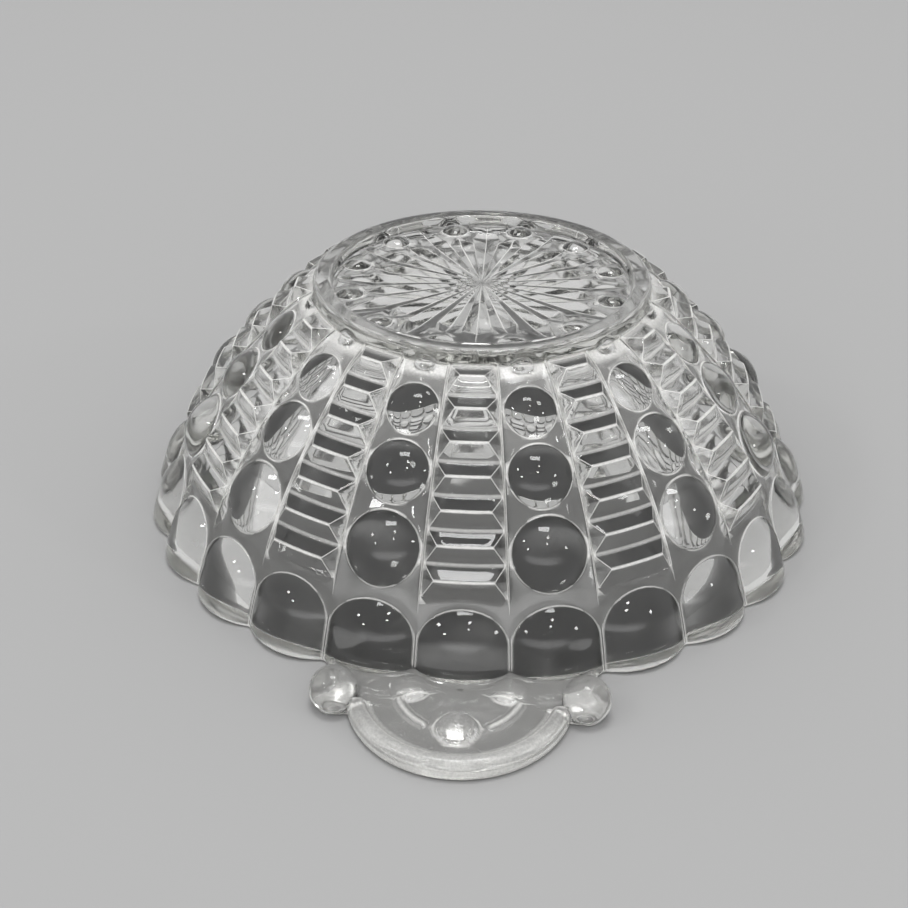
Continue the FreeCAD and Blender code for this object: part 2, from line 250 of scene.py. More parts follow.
# The raised line's cross-section: each grid column's share of the way from its middle to its foot.
BORDER_SHARES = (0.0, 0.5, 1.0)
BORDER_COLUMNS = len(BORDER_SHARES)


def wall_column(columns, pattern):
    """One column of the wall from the foot ring to the rim: tables of side, along and rise. Its
    outer columns on each side make half of the raised line that it shares with the next."""
    shape = (LAST_ROW + 1, columns + 1)
    side, along, rise = np.zeros(shape), np.zeros(shape), np.zeros(shape)
    across = spread(columns - 2 * BORDER_COLUMNS)
    inner = (slice(None), slice(BORDER_COLUMNS, -BORDER_COLUMNS))
    pattern(side[inner], along[inner], rise[inner], across)
    add_scallop(side[inner], along[inner], rise[inner], across)
    for column, share in enumerate(BORDER_SHARES):
        place = half_width(edge_along) - share * border_width
        side[:, column], side[:, -1 - column] = -place, place
        along[:, column] = along[:, -1 - column] = edge_along
        rise[:, column] = rise[:, -1 - column] = border_rise * (1 - share)
    return side, along, rise


def meet_scallop(side, along, across):
    """Puts the scallop's first row into a column's tables: the top row of its half disc."""
    x, y, _ = square_to_disc(across[None, :], scallop_down[:1, None], SCALLOP_CORNER)
    side[SCALLOP_FIRST] = x * scallop_radius
    along[SCALLOP_FIRST] = SCALLOP_CREST + y * scallop_height


def beads(side, along, rise, across):
    """Three round beads: each a disc of rows and columns with a ball's cap on it."""
    side[0] = across * (half_width(0) - BORDER - GAP)
    known = [0]
    for middle, height, first, last in BEADS:
        radius = half_width(middle) - BORDER - GAP
        down = spread(last - first)[:, None]
        x, y, ring = square_to_disc(across[None, :], down, BEAD_CORNER)
        rows = slice(first, last + 1)
        side[rows] = x * radius
        along[rows] = middle + y * radius
        rise[rows] = bead_height(ring, radius, height)
        known += [first, last]
    meet_scallop(side, along, across)
    known.append(SCALLOP_FIRST)
    for table in (side, along):
        for gap in range(0, len(known), 2):
            fill_between(table, known[gap:gap + 2])


def ladder(side, along, rise, across):
    """Seven bars, each with a ridge across: a bar's height is the lower of its two slopes and of
    the slope of its end, over the valleys that the next bars' slopes make with it."""
    place = np.tile(BAR_ROWS, BARS)[:, None]
    upper, lower = place / BAR_RIDGE, (1 - place) / (1 - BAR_RIDGE)
    roof = soft_min(BAR_RISE * upper, BAR_RISE * lower, RIDGE_FILLET)
    valley = -BAR_RISE * np.minimum(place / (1 - BAR_RIDGE), (1 - place) / BAR_RIDGE)
    roof = soft_max(roof, valley, VALLEY_FILLET)
    rows = slice(0, WALL_ROWS)
    edge = (half_width(bar_rows) - BORDER - GAP)[:, None]
    ridge_end = edge - np.maximum(BAR_HIP * np.minimum(upper, lower), RIDGE_END_GAP)
    inner = ridge_end - RIDGE_END_STEP
    half = np.hstack([edge, ridge_end + RIDGE_END_STEP, ridge_end, inner, inner * 2 / 3, inner / 3])
    side[rows] = np.hstack([-half, 0 * edge, half[:, ::-1]])
    along[rows] = bar_rows[:, None]
    end = BAR_RISE * (edge - np.abs(side[rows])) / BAR_HIP
    rise[rows] = BAR_LIFT + np.maximum(soft_min(roof, end, END_FILLET), 0)
    side[WALL_ROWS] = across * (half_width(LADDER_END) - BORDER - GAP)
    along[WALL_ROWS] = LADDER_END
    meet_scallop(side, along, across)
    for table in (side, along):
        fill_between(table, [WALL_ROWS, SCALLOP_FIRST])


# The small bead tucked under the foot ring, above each column of beads. It rises from the ring's
# lowest points and the wall's first rows.
COLLAR_BEAD_RADIUS = 2.3
COLLAR_BEAD_RISE = 1.2
COLLAR_BEAD_FILLET = 0.25
COLLAR_BEAD_FROM = 33.0               # it takes only points of the ring further out than this
COLLAR_BEAD_ROWS = 9


def add_collar_bead(points, outward):
    """Pushes points out along their normals until they lie on a ball centred under the collar:
    the distance to the ball's far side along each normal, where that is more than nothing."""
    ball = (COLLAR_BEAD_RADIUS ** 2 + COLLAR_BEAD_RISE ** 2) / (2 * COLLAR_BEAD_RISE)
    depth = ball - COLLAR_BEAD_RISE
    centre = np.array([FOOT_RADIUS - depth * np.cos(TOP_SLOPE), 0,
                       SHOULDER_HEIGHT - depth * np.sin(TOP_SLOPE)])
    away = points - centre
    along_normal = np.sum(away * outward, axis=-1)
    inside = along_normal ** 2 - np.sum(away ** 2, axis=-1) + ball ** 2
    push = np.where(inside > 0, np.sqrt(np.maximum(inside, 0)) - along_normal, -1.0)
    push = soft_max(push, np.zeros_like(push), COLLAR_BEAD_FILLET)
    return points + outward * push[..., None]


# The foot ring's section: its inner side and standing edge, each point out from the base and below
# the top, then its outer corner and side, each point out from the foot's radius and below the top.
BASE_RADIUS = 29.8
BASE_RECESS = 2.1                     # depth of the base below the standing edge
BASE_HEIGHT = BOWL_HEIGHT - BASE_RECESS
FOOT_INSIDE = [(0, BASE_RECESS), (0.01, 1.95), (0.06, 0.6), (0.15, 0.25), (0.4, 0.04), (0.9, 0)]
FOOT_OUTSIDE = [
    (-1.1, 0), (-0.6, 0.06), (-0.22, 0.3), (-0.04, 0.7), (0, 1.2), (0, 2.0), (0, 2.5), (0.02, 2.85),
    (0.1, 3.1),
]
foot_section = np.array([(BASE_RADIUS + out, BOWL_HEIGHT - down) for out, down in FOOT_INSIDE]
                        + [(FOOT_RADIUS + out, BOWL_HEIGHT - down) for out, down in FOOT_OUTSIDE])
foot_normals = np.gradient(foot_section, axis=0)
foot_normals = np.stack([-foot_normals[:, 1], foot_normals[:, 0]], axis=-1)
foot_normals /= np.linalg.norm(foot_normals, axis=1, keepdims=True)


def carried_round(section, turns):
    """A section of reach and height, turned about the bowl's axis: reach times the cosine and the
    sine of each turn, with the height kept."""
    reach, height = section[:, :1], section[:, 1:]
    return np.stack([reach * np.cos(turns), reach * np.sin(turns), height + 0 * turns], axis=-1)


def foot_column(turns, has_bead):
    """The foot ring's section carried round by the given turns, with the small bead where it goes."""
    points = carried_round(foot_section, turns)
    if has_bead:
        takes_bead = (foot_section[:, :1] > COLLAR_BEAD_FROM)[..., None]
        points = np.where(takes_bead, add_collar_bead(points, carried_round(foot_normals, turns)), points)
    return points


# The base: a star of 24 grooves that widen outwards, and twelve round buttons between the tips of
# the long ones.
STAR_DEPTH = 0.75
STAR_CENTRE = 0.8
LONG_TIP, LONG_POINT = 29.2, 7.5
SHORT_TIP, SHORT_POINT = 23.2, 3.6
NARROWEST = 0.04                      # a groove's tip keeps this share of its width
BUTTON_CIRCLE, BUTTON_RADIUS, BUTTON_RISE = 26.7, 2.9, 1.3
BUTTON_ROWS = 10
BUTTON_CORNER = np.radians(50)
SECTOR_STEPS = [0, 0.03, 0.06, 0.12]  # narrow grid steps in from a sector's border
SECTOR_FROM, SECTOR_TO = 0.2, 0.93    # the even ones between them and the sector's middle
GROOVE_PLACE = 1 - SECTOR_STEPS[2]    # the grid column that follows a groove's edge
LAST_SHARE = 0.97                     # of the last row's width, that its inner columns cover
star_rows = np.array([STAR_CENTRE, 1.4, 2.4, 4, 6, 8.5, 11, 13.5, 16, 18, 19.3, 19.6, 19.9, 20.8, 21.4,
                      21.7, 22.0, 22.6, SHORT_TIP])
button_down = spread(BUTTON_ROWS)
button_rows = BUTTON_CIRCLE + BUTTON_RADIUS * np.sin(BUTTON_CORNER) * button_down
base_rows = np.concatenate([star_rows, button_rows, [LONG_TIP]])


def star_depth(forward, side, tip, point):
    """A kite-shaped groove with four flat faces: deepest at its widest place, from where it rises
    evenly to its two ends and to its two sides."""
    widest = tip - point
    half = widest * np.tan(HALF_COLUMN)
    lengthwise = np.minimum((forward - STAR_CENTRE) / (widest - STAR_CENTRE), (tip - forward) / point)
    return STAR_DEPTH * np.maximum(lengthwise - np.abs(side) / half, 0)


def base_column(columns, tip, point, has_button):
    """One sector of the base: straight rows across it. Past a groove's widest place, one grid column
    on each side follows the groove's edge, and the others keep their shares of the room beside it."""
    half = columns // 2
    ease = np.concatenate([SECTOR_STEPS, np.linspace(SECTOR_FROM, SECTOR_TO, half - 4), [1.0]])
    across = np.concatenate([ease - 1, 1 - ease[-2::-1]])
    widest = tip - point
    edge = widest * np.tan(HALF_COLUMN) * np.clip((tip - base_rows) / point, NARROWEST, 1)
    border = base_rows * np.tan(HALF_COLUMN)
    to_edge = np.minimum(np.abs(across) / GROOVE_PLACE, 1)
    past_edge = np.maximum(np.abs(across) - GROOVE_PLACE, 0) / (1 - GROOVE_PLACE)
    gathered = np.sign(across) * (to_edge * edge[:, None] + past_edge * (border - edge)[:, None])
    side = np.where((base_rows > widest)[:, None], gathered, border[:, None] * across)
    forward = np.repeat(base_rows[:, None], columns + 1, axis=1)
    rise = np.zeros(side.shape)
    if has_button:
        first = len(star_rows)
        rows = slice(first, first + BUTTON_ROWS + 1)
        x, y, ring = square_to_disc(spread(columns - 2)[None, :], button_down[:, None], BUTTON_CORNER)
        side[rows, 1:-1] = x * BUTTON_RADIUS
        forward[rows, 1:-1] = BUTTON_CIRCLE + y * BUTTON_RADIUS
        rise[rows, 1:-1] = bead_height(ring, BUTTON_RADIUS, BUTTON_RISE)
        side[rows, 0] = -border[rows]
        side[rows, -1] = border[rows]
        side[-1] = border[-1] * np.concatenate([[-1.0], spread(columns - 2) * LAST_SHARE, [1.0]])
    depth = star_depth(forward, side, tip, point)
    return np.stack([forward, side, BASE_HEIGHT + rise - depth], axis=-1)


# The rim's rolled edge and the inside.
WALL = 3.6
BASE_THICKNESS = 4.2
CAVITY_RADIUS = SWEEP_RADIUS - WALL
CAVITY_TOP = BASE_HEIGHT - BASE_THICKNESS
CAVITY_CORNER = 9.0
RIM_INNER = 64.6
RIM_BEVEL = 1.3
BEVEL_OUT, BEVEL_UP = 0.35, 0.25      # where the bevel's curve bends
ROLL_REACH = 1.15                     # how far the roll goes in, for each mm that it comes down
ROLL_STEPS = (0.15, 0.3, 0.45, 0.6, 0.75, 0.88, 1.0)
BEVEL_STEPS = (0.3, 0.6, 1.0)
INSIDE_WALL_ROWS, INSIDE_CORNER_ROWS = 9, 5
INSIDE_FLOOR_SHARES = (0.6, 0.2)


def bend(start, middle, end, t):
    """A curve from start to end that leaves towards the middle point and arrives from it: the three
    weighted by (1 - t) squared, 2 t (1 - t) and t squared."""
    return (1 - t) ** 2 * start + 2 * t * (1 - t) * middle + t ** 2 * end


def rim_rows(last, before):
    """From the wall's last row to the standing edge: a curve that leaves along the wall's own
    direction and lands level, then a flat step inwards to the edge of the inside."""
    direction = last - before
    corner = last + direction * (last[..., 2:] / -direction[..., 2:])
    reach = np.linalg.norm(last[..., :2], axis=-1)
    inward = last * [1, 1, 0] / reach[..., None]
    corner_reach = np.linalg.norm(corner[..., :2], axis=-1)
    landing = inward * (corner_reach - ROLL_REACH * last[..., 2])[..., None]
    rows = [bend(last, corner, landing, t) for t in ROLL_STEPS]
    return np.array(rows + [inward * RIM_INNER])


def inside_section():
    """The inside from the rim to the middle: a rolled bevel, the wall's curve moved in by the wall's
    thickness, a round corner and the flat bottom."""
    corner_z = CAVITY_TOP - CAVITY_CORNER
    corner_r = CENTRE_R + np.sqrt((CAVITY_RADIUS - CAVITY_CORNER) ** 2 - (corner_z - CENTRE_Z) ** 2)
    touch = np.arctan2(corner_z - CENTRE_Z, corner_r - CENTRE_R)
    low = np.arcsin((RIM_BEVEL - CENTRE_Z) / CAVITY_RADIUS)
    mouth = np.array([CENTRE_R + CAVITY_RADIUS * np.cos(low), RIM_BEVEL])
    start = np.array([RIM_INNER, 0.0])
    turning = np.array([mouth[0] + BEVEL_OUT, BEVEL_UP])
    bevel = bend(start, turning, mouth, np.array(BEVEL_STEPS)[:, None])
    angle = np.linspace(low, touch, INSIDE_WALL_ROWS + 1)[1:]
    wall = np.stack([CENTRE_R + CAVITY_RADIUS * np.cos(angle),
                     CENTRE_Z + CAVITY_RADIUS * np.sin(angle)], axis=-1)
    angle = np.linspace(touch, np.pi / 2, INSIDE_CORNER_ROWS + 1)[1:]
    corner = np.stack([corner_r + CAVITY_CORNER * np.cos(angle),
                       corner_z + CAVITY_CORNER * np.sin(angle)], axis=-1)
    floor = np.array([(corner_r * share, CAVITY_TOP) for share in INSIDE_FLOOR_SHARES])
    return np.concatenate([bevel, wall, corner, floor])


# Painted light on the plain glass between the raised forms: an even white share, which grows towards the
# foot ring and is a white band of painted highlight close under it, more on the bars' lower faces, and a
# little on the rim, there partly rubbing and partly painted light.
WALL_PAINTED_LIGHT, FACET_PAINTED_LIGHT, RIM_RUBBING_AND_LIGHT = 0.15, 0.13, 0.1
UPPER_PAINTED_LIGHT, UPPER_REACH = 0.18, 24.0
BAND_PAINTED_HIGHLIGHT, BAND_REACH = 0.55, 3.4
BAND_LADDER_ROWS = 3
# Where the glass rises this much, the painted light has faded out.
PLAIN_RISE = 0.15                     # the frost has faded out where the glass rises this much


def whole_column(columns, pattern, tip, point, is_bead):
    """Every row of one column, from the base to the inside, as points that face +X, and the even painted
    light on them, as its frost amount."""
    side, along, rise = wall_column(columns, pattern)
    wall = on_wall(side, along, rise + shoulder(along))
    turns = np.linspace(-HALF_COLUMN, HALF_COLUMN, columns + 1)[None, :]
    wall_turns = np.arctan2(wall[:1, :, 1], wall[:1, :, 0])
    ramp = np.linspace(0, 1, len(foot_section))[:, None]
    foot = foot_column(turns * (1 - ramp) + wall_turns * ramp, is_bead)
    pushed = np.zeros(rise.shape)
    if is_bead:
        near = slice(0, COLLAR_BEAD_ROWS)
        slope = wall_slope(along[near])
        turn = np.arctan2(wall[near, :, 1], wall[near, :, 0])
        outward = np.stack([np.cos(slope) * np.cos(turn), np.cos(slope) * np.sin(turn),
                            np.sin(slope)], axis=-1)
        raised = add_collar_bead(wall[near], outward)
        pushed[near] = np.linalg.norm(raised - wall[near], axis=-1)
        wall[near] = raised
    base = base_column(columns, tip, point, is_bead)
    rim = rim_rows(wall[-1], wall[-2])
    inner = carried_round(inside_section(), np.arctan2(wall[-1, :, 1], wall[-1, :, 0])[None, :])
    # Painted light: brighter towards the foot ring and a painted highlight band close under it, fading
    # where the glass rises.
    upper = UPPER_PAINTED_LIGHT * np.clip(1 - along / UPPER_REACH, 0, 1)
    band = BAND_PAINTED_HIGHLIGHT * np.clip(2 - 2 * along / BAND_REACH, 0, 1)
    wall_painted_amount = (WALL_PAINTED_LIGHT + upper + band) * np.clip(1 - (rise + pushed) / PLAIN_RISE, 0, 1)
    # A ladder's lower bar faces get more painted light, and its first rows the band's painted highlight.
    if not is_bead:
        facet = np.tile(BAR_ROWS > BAR_RIDGE, BARS)[:, None]
        wall_painted_amount[:WALL_ROWS] += FACET_PAINTED_LIGHT * facet
        wall_painted_amount[:BAND_LADDER_ROWS] = BAND_PAINTED_HIGHLIGHT
    frost_and_painted_light = [np.zeros(base.shape[:2]), np.zeros(foot.shape[:2]), wall_painted_amount,
             np.full(rim.shape[:2], RIM_RUBBING_AND_LIGHT), np.zeros(inner.shape[:2])]
    return np.concatenate([base, foot, wall, rim, inner])[:, :-1], np.concatenate(frost_and_painted_light)[:, :-1]


SHORTEST_STEP = 0.3
SOFT_TURN, SHARP_TURN = 0.5, 1.6      # change of direction for each mm


def sharpness(rows):
    """How sharply the surface turns at each point, from 0 to 1: the change of its normal between two
    neighbours over the distance between them, along or across, whichever is more."""
    before = np.maximum(np.arange(len(rows)) - 1, 0)
    after = np.minimum(np.arange(len(rows)) + 1, len(rows) - 1)
    down = rows[after] - rows[before]
    across = np.roll(rows, -1, axis=1) - np.roll(rows, 1, axis=1)
    normal = np.cross(down, across)
    normal /= np.maximum(np.linalg.norm(normal, axis=-1, keepdims=True), TINY)
    turn_down = np.linalg.norm(normal[after] - normal[before], axis=-1)
    turn_across = np.linalg.norm(np.roll(normal, -1, axis=1) - np.roll(normal, 1, axis=1), axis=-1)
    turn_down /= np.maximum(np.linalg.norm(down, axis=-1), SHORTEST_STEP)
    turn_across /= np.maximum(np.linalg.norm(across, axis=-1), SHORTEST_STEP)
    return np.clip((np.maximum(turn_down, turn_across) - SOFT_TURN) / (SHARP_TURN - SOFT_TURN), 0, 1)


def mesh_from_rows(name, rows, top, bottom, even, grain=1.0):
    """A closed mesh: quads between neighbouring rows, which close on themselves, and a fan of triangles to
    one point at each end. Its points keep the frost amount, which is painted light on the glass: an even
    share, and their sharpness times each row's factor, which paints highlight lines along sharp edges and
    corners."""
    count, around = rows.shape[:2]
    points = np.concatenate([rows.reshape(-1, 3), [top, bottom]]) * mm
    index = np.arange(count * around).reshape(count, around)
    after = np.roll(index, -1, axis=1)
    quads = np.stack([index[:-1], index[1:], after[1:], after[:-1]], axis=-1).reshape(-1, 4)
    first = np.stack([index[0], after[0], np.full(around, count * around)], axis=-1)
    last = np.stack([after[-1], index[-1], np.full(around, count * around + 1)], axis=-1)
    mesh = bpy.data.meshes.new(name)
    mesh.from_pydata(points.tolist(), [], quads.tolist() + first.tolist() + last.tolist())
    mesh.validate()
    frost_and_painted_light = mesh.attributes.new("frost_and_painted_light", "FLOAT", "POINT")
    # Sharp edges and corners get painted highlight lines, in the share that each row's factor gives.
    amount = np.clip(even + sharpness(rows) * grain, 0, 1)
    frost_and_painted_light.data.foreach_set("value", np.concatenate([amount.ravel(), [0, 0]]))
    return mesh


def turned(points, angle):
    """The points turned about the bowl's axis."""
    spin = np.array([[np.cos(angle), np.sin(angle), 0], [-np.sin(angle), np.cos(angle), 0], [0, 0, 1]])
    return points @ spin


# A ladder column faces the tab handle, and the columns follow each other round from there.
ladder_part, ladder_painted_amount = whole_column(LADDER_COLUMNS, ladder, LONG_TIP, LONG_POINT, False)
bead_part, bead_painted_amount = whole_column(BEAD_COLUMNS, beads, SHORT_TIP, SHORT_POINT, True)
all_round = []
for pair in range(PAIRS):
    azimuth = -np.pi / 2 + pair * 4 * HALF_COLUMN
    all_round.append(turned(ladder_part, azimuth))
    all_round.append(turned(bead_part, azimuth + 2 * HALF_COLUMN))
bowl_rows = np.concatenate(all_round, axis=1)
# The painted light of all the columns round the bowl.
bowl_painted_amount = np.hstack([ladder_painted_amount, bead_painted_amount] * PAIRS)

# The foot ring's fillets get only this share of the painted highlight lines along sharp edges.
FOOT_CREASE_HIGHLIGHT = 0.25
bowl_crease_highlight = np.ones((len(bowl_rows), 1))
bowl_crease_highlight[len(base_rows):len(base_rows) + len(foot_section) - 2] = FOOT_CREASE_HIGHLIGHT
bowl_mesh = mesh_from_rows("glass_bowl_shape", bowl_rows, (0, 0, BASE_HEIGHT), (0, 0, CAVITY_TOP),
                           bowl_painted_amount, bowl_crease_highlight)

# ================================================================== tab handle
# The flat finger tab of the same pressing: a round tongue with a rolled border round a sunk field,
# that carries a dome, two beads, two curved ribs and a small step, and a ball at each shoulder. It is
# one with the bowl's glass, so its mesh is united with the bowl's before the whole gets its material.

TAB_MIDDLE = 70.8                     # from the bowl's axis to the middle of the tab's round outline
TAB_RADIUS = 20.0
TAB_THICKNESS = 3.8
TAB_FIELD = 2.5                       # height of the sunk field
TAB_BORDER = 3.4                      # width of the rolled border
TAB_CREST = 1.75                      # from the outline in to the top of its roll
TAB_EDGE = 1.9                        # how far the roll has come down at the outline
TAB_UNDERSIDE = 0.12
TAB_AROUND = 200
BALL_SIDE, BALL_MIDDLE, BALL_RADIUS, BALL_HEIGHT = 22.0, 72.8, 4.3, 3.3
BALL_FOOT = 0.8                       # the plate under a ball is this share of it
NECK_FILLET = 3.0
ROOT_SIDE = 25.0
ROOT_RADIUS = 65.2                    # inside the glass of the wall
TONGUE_POINTS, ROOT_POINTS, DENSE_POINTS = 60, 30, 4000       # the outline is worked out at these


def tab_outline(angles):
    """Distance from the tab's middle to its outline at each angle: the round tongue as far as the
    balls, a straight shoulder to the root and the root's arc about the bowl's axis, and over them
    the far side of a round under each ball, joined by a fillet, the neck."""
    root_reach = np.sqrt(ROOT_RADIUS ** 2 - ROOT_SIDE ** 2)
    drop = TAB_MIDDLE - BALL_MIDDLE
    tongue = np.linspace(-np.pi / 2, np.arcsin(drop / TAB_RADIUS), TONGUE_POINTS)
    root = np.linspace(np.arctan2(ROOT_SIDE, root_reach), 0, ROOT_POINTS)
    x = np.concatenate([TAB_RADIUS * np.cos(tongue), [BALL_SIDE], ROOT_RADIUS * np.sin(root)])
    y = np.concatenate([TAB_RADIUS * np.sin(tongue), [drop], TAB_MIDDLE - ROOT_RADIUS * np.cos(root)])
    dense = np.linspace(0, len(x) - 1, DENSE_POINTS)
    x = np.interp(dense, np.arange(len(x)), x)
    y = np.interp(dense, np.arange(len(y)), y)
    reach = np.interp(np.abs(angles), np.arctan2(x, -y), np.hypot(x, y))
    away = np.hypot(BALL_SIDE, drop)
    off = np.abs(angles) - np.arctan2(BALL_SIDE, -drop)
    across = (BALL_FOOT * BALL_RADIUS) ** 2 - (away * np.sin(off)) ** 2
    ball = np.where(across > 0, away * np.cos(off) + np.sqrt(np.maximum(across, 0)), 0)
    return soft_max(reach, ball, NECK_FILLET)


# Places are across and along from the tab's middle, and angles go from the tab's tip to both sides.
DOME = (0, -10.2, 3.9, 2.6)           # place, radius, rise
FIELD_BEADS = [(8.6, 0, 3.6, 1.6), (-8.6, 0, 3.6, 1.6)]
CAP_REACH = 1.2                       # a cap is followed down to this share of its radius
RIB_RADIUS, RIB_HALF_WIDTH = 11.0, 0.75
RIB_START, RIB_STOP, RIB_END = 26, 78, 6          # degrees, the last over which each end comes down
STEP_HALF_WIDTH, STEP_START, STEP_STOP = 3.8, 14.6, 19.9      # most of it is under the border
STEP_RISE, STEP_EDGE = 0.5, 0.5
BORDER_STOP, BORDER_END = 104, 12     # degrees
DOME_FILLET, RIB_FILLET, ROLL_FILLET = 0.35, 0.25, 0.3


def tab_height(x, y, inset):
    """Height of the tab's upper side: the sunk field, a border that is a half round across, from
    its inner edge over its crest and down to the outline, and the dome, beads, ribs and step, which
    stand on the field. The step is lower than the border, so it shows only between the border and
    the dome. The border ends where the shoulders begin."""
    from_middle = np.hypot(x, y)
    turn = np.degrees(np.arctan2(np.abs(x), -y))
    height = np.full_like(from_middle, TAB_FIELD)
    for bump_x, bump_y, radius, rise in [DOME] + FIELD_BEADS:
        off = np.minimum(np.hypot(x - bump_x, y - bump_y), radius * CAP_REACH)
        height = soft_max(height, TAB_FIELD + dome_height(off, radius, rise), DOME_FILLET)
    rib_end = np.clip(np.minimum(turn - RIB_START, RIB_STOP - turn) / RIB_END, 0, 1)
    rib = np.sqrt(np.maximum(RIB_HALF_WIDTH ** 2 - (from_middle - RIB_RADIUS) ** 2, 0)) * np.sqrt(rib_end)
    height = soft_max(height, TAB_FIELD + rib, RIB_FILLET)
    lengthwise = np.minimum(-y - STEP_START, STEP_STOP + y)
    inside = np.minimum(STEP_HALF_WIDTH + STEP_EDGE - np.abs(x), lengthwise)
    plateau = np.clip(inside / STEP_EDGE, 0, 1)
    height = height + STEP_RISE * plateau ** 2 * (3 - 2 * plateau)
    inward = np.clip((inset - TAB_CREST) / (TAB_BORDER - TAB_CREST), 0, 1)
    outward = np.clip(1 - inset / TAB_CREST, 0, 1)
    crest = TAB_THICKNESS - TAB_FIELD
    roll = np.where(inset < TAB_CREST, crest, crest * np.sqrt(1 - inward ** 2))
    roll = roll * np.clip((BORDER_STOP - turn) / BORDER_END, 0, 1)
    return soft_max(height, TAB_FIELD + roll, ROLL_FILLET) - TAB_EDGE * (1 - np.sqrt(1 - outward ** 2))


# The tab's rings: shares of the field, insets from the outline over the border, and down its edge.
FIELD_SHARES = np.concatenate([np.linspace(0.04, 0.28, 5), np.linspace(0.32, 1, 26)])
BORDER_INSETS = [3.0, 2.6, 2.2, TAB_CREST, 1.3, 0.9, 0.55, 0.3, 0.13, 0.04, 0.0]
EDGE_RINGS = [(0.0, 1.2), (0.06, 0.7), (0.25, 0.3), (0.6, TAB_UNDERSIDE)]         # inset, height
UNDERSIDE_SHARE = 0.5
# Its painted light: the field's lifts the shade under the tab, the dome's is a painted highlight, and the
# border and balls are painted brighter. The border's falls to the balls' between these angles.
FIELD_PAINTED_LIGHT, DOME_PAINTED_HIGHLIGHT, BORDER_PAINTED_LIGHT, BALL_PAINTED_LIGHT = 0.30, 0.40, 0.56, 0.26
PAINTED_LIGHT_FROM, PAINTED_LIGHT_TO = 50, 80
DOME_FADE = 0.8


def tab_rows():
    """Rings from the middle of the upper side out to the edge, down it and in along the underside: each
    ring is a share of the outline, less its inset. With them goes their even painted light: the border's
    falls to the balls' where it reaches them, and the dome's painted highlight ends softly at its foot."""
    angles = np.linspace(-np.pi, np.pi, TAB_AROUND, endpoint=False)
    reach = tab_outline(angles)
    direction = np.stack([np.sin(angles), -np.cos(angles)], axis=-1)
    field = reach - TAB_BORDER
    rings = []
    for distance in [share * field for share in FIELD_SHARES] + [reach - inset for inset in BORDER_INSETS]:
        at = direction * distance[:, None]
        rings.append((at, tab_height(at[:, 0], at[:, 1], reach - distance)))
    for inset, height in EDGE_RINGS:
        rings.append((direction * (reach - inset)[:, None], np.full(TAB_AROUND, height)))
    rings.append((direction * (reach * UNDERSIDE_SHARE)[:, None], np.full(TAB_AROUND, TAB_UNDERSIDE)))
    rows = np.array([np.column_stack([at[:, 0], at[:, 1] - TAB_MIDDLE, height]) for at, height in rings])
    plain = np.ones(TAB_AROUND)
    to_ball = np.clip((np.degrees(np.abs(angles)) - PAINTED_LIGHT_FROM) / (PAINTED_LIGHT_TO - PAINTED_LIGHT_FROM), 0, 1)
    border_painted_amount = BORDER_PAINTED_LIGHT + (BALL_PAINTED_LIGHT - BORDER_PAINTED_LIGHT) * to_ball
    painted_light_rings = len(BORDER_INSETS) + len(EDGE_RINGS) - 1
    frost_and_painted_light = [FIELD_PAINTED_LIGHT * plain] * len(FIELD_SHARES) + [border_painted_amount] * painted_light_rings + [0 * plain] * 2
    # The dome's painted highlight, fading out towards its foot.
    off_dome = np.hypot(rows[..., 0] - DOME[0], rows[..., 1] + TAB_MIDDLE - DOME[1])
    dome = np.clip((DOME[2] - off_dome) / DOME_FADE, 0, 1) * (rows[..., 2] > TAB_FIELD)
    return rows, np.maximum(np.array(frost_and_painted_light), DOME_PAINTED_HIGHLIGHT * dome)


BALL_CIRCLES, BALL_AROUND = 28, 40
BALL_TIP = 0.08                       # angle from a ball's top to its first circle
BALL_LOWEST = 0.06
BALL_HOLLOW = 0.004                   # its flat rises by this for each radian towards the middle
BALL_FLAT = 0.8                       # fillet from the round to the flat


def ball_rows(hand):
    """A ball that sits low, with a soft flat where it nearly meets the table: circles of latitude
    from top to bottom, each at the height of the round or of the flat, whichever is higher."""
    tilt = np.linspace(BALL_TIP, np.pi - BALL_TIP, BALL_CIRCLES)[:, None]
    turn = np.linspace(0, 2 * np.pi, BALL_AROUND, endpoint=False)[None, :]
    x = hand * BALL_SIDE + BALL_RADIUS * np.sin(tilt) * np.cos(turn)
    y = -BALL_MIDDLE + BALL_RADIUS * np.sin(tilt) * np.sin(turn)
    z = BALL_HEIGHT + BALL_RADIUS * np.cos(tilt) + 0 * turn
    flat = BALL_LOWEST + BALL_HOLLOW * tilt + 0 * turn
    return np.stack([x, y, soft_max(z, flat, BALL_FLAT)], axis=-1)


def facing_out(mesh):
    """Turns every face outwards, whichever way its rows ran."""
    shell = bmesh.new()
    shell.from_mesh(mesh)
    if shell.calc_volume(signed=True) < 0:
        bmesh.ops.reverse_faces(shell, faces=shell.faces)
    shell.to_mesh(mesh)
    shell.free()
    return mesh


def in_scene(name, data):
    """A new object for this mesh, lamp or camera."""
    piece = bpy.data.objects.new(name, data)
    bpy.context.scene.collection.objects.link(piece)
    return piece


def middle_of(ring):
    """The mean of a ring's points."""
    return tuple(ring.mean(axis=0))


# The tab's rings and their painted light.
tab, tab_painted_amount = tab_rows()
field_middle = float(tab_height(np.zeros(1), np.zeros(1), np.full(1, TAB_RADIUS))[0])
top = (0, -TAB_MIDDLE, field_middle)
bottom = (0, -TAB_MIDDLE, TAB_UNDERSIDE)
added = [in_scene("tab", facing_out(mesh_from_rows("tab", tab, top, bottom, tab_painted_amount)))]
for hand in (-1, 1):
    ball = ball_rows(hand)
    # Each ball gets the same even painted light, and no painted highlight lines.
    mesh = mesh_from_rows("ball", ball, middle_of(ball[0]), middle_of(ball[-1]), BALL_PAINTED_LIGHT, 0)
    added.append(in_scene("ball", facing_out(mesh)))

